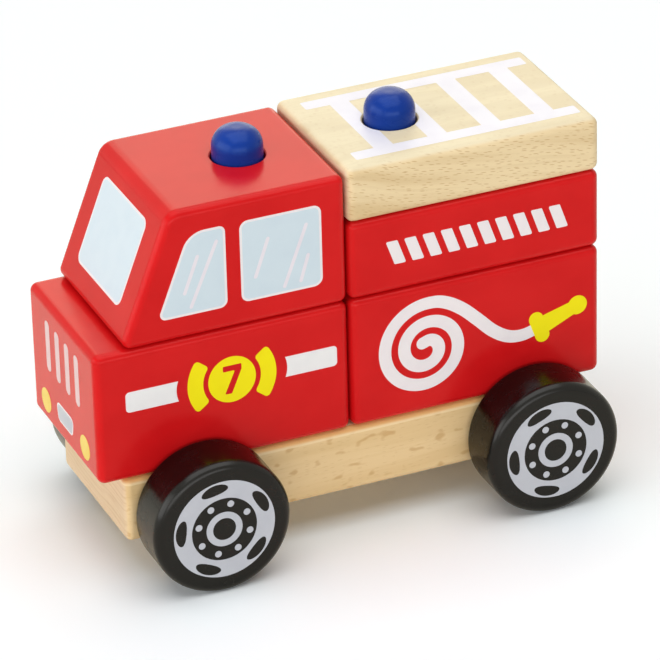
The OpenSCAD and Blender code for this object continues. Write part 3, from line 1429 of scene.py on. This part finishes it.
@dataclass
class LadderBlock(Block):
    """The bare beech block on top, with a white ladder printed on it.

    Places along the block are from its front face backwards.
    """

    node: str = "ladder_block"
    body: str = "ladder"
    finish: Finish = BEECH_TOP
    rail_from: float = 4.6
    rail_to: float = 63.3
    rail_y: float = 15.15
    rail_w: float = 4.1
    rail_corner: float = 0.5
    rung_first: float = 13.3
    rung_pitch: float = 14.05
    rung_count: int = 4
    rung_w: float = 5.0
    hole_x: float = 20.75
    hole_r: float = 7.05

    def dress(self) -> None:
        """Varnishes and prints the block."""
        super().dress()
        top = Face(Vector((self.high.x, 0, self.high.z)), -X, -Y, Z)
        rails = [box_corners((self.rail_from, way * self.rail_y - self.rail_w / 2),
                             (self.rail_to, way * self.rail_y + self.rail_w / 2)) for way in (1, -1)]
        rails = [rounded(rail, self.rail_corner) for rail in rails]
        lay_ink("ladder_rails", flat_sheet(rails), top, SNOW, self.body)
        middle = self.rung_first + self.rung_pitch * (self.rung_count - 1) / 2
        rungs = BarRow(self.rung_count, self.rung_pitch, self.rung_w, 2 * self.rail_y - self.rail_w)
        sheet = bored(rungs.mesh(SNOW), (self.hole_x - middle, 0), self.hole_r)
        lay_ink("ladder_rungs", sheet, top.moved(middle, 0), SNOW, self.body)


@dataclass
class Wheelset:
    """Two black turned wheels with silver hub prints, whose sizes are shares of the print's radius.

    Attributes:
        end: The end of the toy that they carry.
        turn: How far they have rolled, in degrees.
        print_r: Radius of the print.
    """

    end: str
    turn: float
    print_r: float = 12.95
    disc_from: float = 0.644
    oval_count: int = 5
    oval_start: float = -90.0
    oval_ring: float = 0.858
    oval_half_l: float = 0.27
    oval_half_w: float = 0.108
    dot_count: int = 8
    dot_ring: float = 0.52
    dot_r: float = 0.067
    cap_radii: Pair = (0.356, 0.227)

    def oval(self, turn: float) -> Outline:
        """Draws one opening of the hub, bent to the hub's ring.

        Args:
            turn: Where the opening is on the ring, in degrees.

        Returns:
            The opening's outline, about the wheel's centre.
        """
        outline: Outline = []
        for p in disc((0, 0), 1.0, steps=32):
            radius = self.print_r * (self.oval_ring + self.oval_half_w * p.y)
            angle = math.radians(turn) - self.oval_half_l / self.oval_ring * p.x
            outline.append(Vector((math.cos(angle), math.sin(angle))) * radius)
        return outline

    def dress(self) -> None:
        """Lacquers both wheels and prints their hubs."""
        for hand in Hand:
            tag = f"{self.end}_{hand.tag}"
            node, body = f"{tag}_wheel", f"{self.end}_wheelset"
            paint(node, BLACK)
            low, high = (Vector(corner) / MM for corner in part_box(node))
            middle = (low + high) / 2
            rim = high.y if hand is Hand.LEFT else low.y
            spin = Matrix.Rotation(math.radians(self.turn), 3, Y)
            face = Face(Vector((middle.x, rim, middle.z)), spin @ X, spin @ Z, Y * hand.value)
            holes = [self.oval(self.oval_start + 360 * k / self.oval_count) for k in range(self.oval_count)]
            ring, cap = ([disc((0, 0), self.print_r * share) for share in shares]
                         for shares in ((1.0, self.disc_from), self.cap_radii))
            lay_ink(f"hub_disc_{tag}", flat_sheet(ring + holes + cap), face, SILVER, body)
            dots = DotRing(self.dot_count, self.print_r * self.dot_ring, self.print_r * self.dot_r)
            lay_ink(f"hub_dots_{tag}", dots.mesh(SILVER), face, SILVER, body)


@dataclass(frozen=True)
class Softbox:
    """A soft oblong lamp that faces the toy.

    Attributes:
        place: Where it hangs, in metres.
        size: Its width and height, in metres.
        radiance: How bright its face is.
        tone: Its colour.
        WATTS: Power for each square metre of a face of radiance 1.
    """

    place: Triple
    size: Pair
    radiance: float
    tone: Triple = (1.0, 1.0, 1.0)

    WATTS = 4

    def hang(self, name: str, aim: Vector) -> None:
        """Hangs the lamp.

        Args:
            name: Name of the lamp.
            aim: The point that it faces, in metres.
        """
        lamp = bpy.data.lights.new(name, "AREA")
        lamp.shape, lamp.color = "RECTANGLE", self.tone
        lamp.size, lamp.size_y = self.size
        lamp.energy = self.WATTS * self.radiance * lamp.size * lamp.size_y
        box = put_in_scene(name, lamp)
        box.location = self.place
        box.rotation_euler = (aim - Vector(self.place)).to_track_quat("-Z", "Y").to_euler()


@dataclass
class Studio:
    """The pale floor, the soft light and the camera.

    Attributes:
        azimuth: Where the camera stands, in degrees from the toy's right towards its front.
        elevation: How far it looks down, in degrees.
        roll: Its tilt, in degrees.
        distance: From the camera to its aim.
        aim: The point that it looks at.
        focal: Focal length, in pixels of the frame.
        frame_px: Width of the frame, in pixels.
        sensor: Width of the camera's sensor.
        clip: Nearest and furthest that it sees, in metres.
        floor_size: Width of the floor, in metres.
        floor_roughness: How dull the floor is.
        floor_bounce: The floor's colour for the light that it throws back.
        floor_seen: The floor's colour for the camera, a little cool against the toy's red glow.
        ambient: Strength of the white surroundings as light.
        mirrored: Colour of the floor and the surroundings where gloss mirrors them.
        lamps: The soft lamps.
    """

    azimuth: float = 157.34
    elevation: float = 28.2
    roll: float = -1.58
    distance: float = 1238.9
    aim: Triple = (-3.53, 0.0, 43.43)
    focal: float = 5089.2
    frame_px: int = 660
    sensor: float = 36.0
    clip: Pair = (0.05, 50.0)
    floor_size: float = 8.0
    floor_roughness: float = 0.9
    floor_bounce: Colour = (0.94, 0.92, 0.87, 1.0)
    floor_seen: Colour = (1.01, 1.055, 1.075, 1.0)
    ambient: float = 0.12
    mirrored: Colour = (1.0, 0.97, 0.84, 1.0)
    lamps: tuple[Softbox, ...] = (
        Softbox((0.0, 0.15, 1.35), (1.6, 1.6), 1.62),
        Softbox((0.4, 1.9, 0.38), (2.4, 0.7), 2.05),
        Softbox((1.7, 0.1, 0.52), (2.2, 1.0), 1.9),
        Softbox((-0.5, -1.25, 0.72), (1.3, 1.3), 1.0, (1.0, 0.94, 0.72)),
    )

    def world(self) -> None:
        """Makes white surroundings that camera and gloss see at full strength."""
        world = bpy.data.worlds.new("White surroundings")
        bpy.context.scene.world = world
        world.use_nodes = True
        wiring = Wiring(world.node_tree)
        rays = wiring.add("ShaderNodeLightPath")
        seen = wiring.calc("MAXIMUM", rays["Is Camera Ray"], rays["Is Glossy Ray"])
        seen = wiring.calc("MAXIMUM", seen, rays["Is Transmission Ray"])
        strength = wiring.calc("MAXIMUM", seen, self.ambient)
        tone = wiring.blend(rays["Is Glossy Ray"], PURE, self.mirrored)
        wiring.feed(world.node_tree.nodes["Background"], {"Color": tone, "Strength": strength})

    def floor(self) -> None:
        """Lays the pale floor."""
        half = self.floor_size / 2
        mesh = bpy.data.meshes.new("floor")
        corners = box_corners((-half, -half), (half, half))
        mesh.from_pydata([(*corner, 0) for corner in corners], [], [range(len(corners))])
        paper = bpy.data.materials.new("Floor paper")
        paper.use_nodes = True
        wiring = Wiring(paper.node_tree)
        rays = wiring.add("ShaderNodeLightPath")
        seen = wiring.calc("MAXIMUM", rays["Is Camera Ray"], rays["Is Transmission Ray"])
        white = wiring.blend(seen, self.floor_bounce, self.floor_seen)
        white = wiring.blend(rays["Is Glossy Ray"], white, self.mirrored)
        wiring.feed(paper.node_tree.nodes["Principled BSDF"],
                    {"Base Color": white, "Roughness": self.floor_roughness, "Specular IOR Level": 0.0})
        mesh.materials.append(paper)
        floor = put_in_scene("floor", mesh)

    def light(self) -> None:
        """Hangs the soft lamps, each turned to the toy."""
        for number, lamp in enumerate(self.lamps):
            lamp.hang(f"softbox_{number}", Vector(self.aim) * MM)

    def camera(self) -> None:
        """Stands the camera where the photograph was taken."""
        turn, rise, roll = (math.radians(angle) for angle in (self.azimuth, self.elevation, self.roll))
        back = Vector((math.sin(turn) * math.cos(rise), -math.cos(turn) * math.cos(rise), math.sin(rise)))
        right = (-back).cross(Z).normalized()
        up = right.cross(-back)
        level = Matrix((right, up, back)).transposed().to_4x4()
        place = level @ Matrix.Rotation(roll, 4, Z)
        place.translation = (Vector(self.aim) + back * self.distance) * MM
        lens = bpy.data.cameras.new("camera")
        lens.sensor_width = self.sensor
        lens.lens = self.focal / self.frame_px * self.sensor
        lens.clip_start, lens.clip_end = self.clip
        stand = put_in_scene("camera", lens)
        stand.matrix_world = place
        bpy.context.scene.camera = stand

    def build(self) -> None:
        """Sets up the whole studio."""
        bpy.context.scene.view_settings.view_transform = "Standard"
        self.world()
        self.floor()
        self.light()
        self.camera()
        log.info("studio ready")


def main() -> None:
    """Dresses the toy from the board up, then sets up the studio."""
    logging.basicConfig(level=logging.INFO, format="%(message)s")
    for assembly in (RollingBoard(), Bonnet(), Cab(), HoseBlock(), StripeBlock(), LadderBlock(),
                     Wheelset("front", turn=119.3), Wheelset("rear", turn=203.2)):
        assembly.dress()
    Studio().build()


if __name__ == "__main__":
    main()
